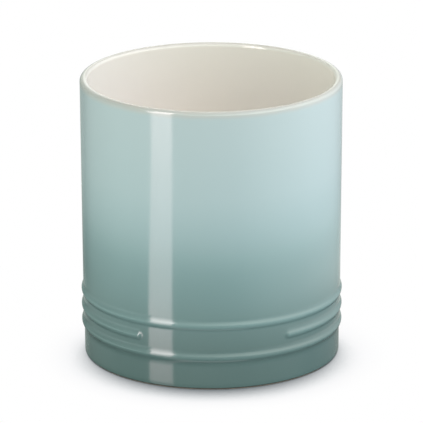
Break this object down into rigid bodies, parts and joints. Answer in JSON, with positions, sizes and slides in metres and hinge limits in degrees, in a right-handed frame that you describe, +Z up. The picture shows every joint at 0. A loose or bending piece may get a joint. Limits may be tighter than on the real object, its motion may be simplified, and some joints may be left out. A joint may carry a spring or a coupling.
{
  "type": "utensil crock",
  "caption": "Open glazed stoneware crock for kitchen utensils: a near-straight cylinder with a rounded pale lip, raised beads above a plain foot and a bare panel between them.",
  "frame": {"origin": "middle of the base, on the surface that the crock stands on", "axes": "+Z up along the crock's axis, -Y through the middle of the bare panel, which is the front, +X to the right as the front is faced"},
  "size_m": [0.1524, 0.1522, 0.1655],
  "materials": {
    "fired_stoneware": "matte",
    "coloured_glaze": "gloss",
    "liner_glaze": "gloss"
  },
  "bodies": {
    "root": {"stoneware_body": "fired_stoneware", "exterior_glaze": "coloured_glaze", "interior_glaze": "liner_glaze", "base_glaze": "liner_glaze"}
  },
  "joints": []
}
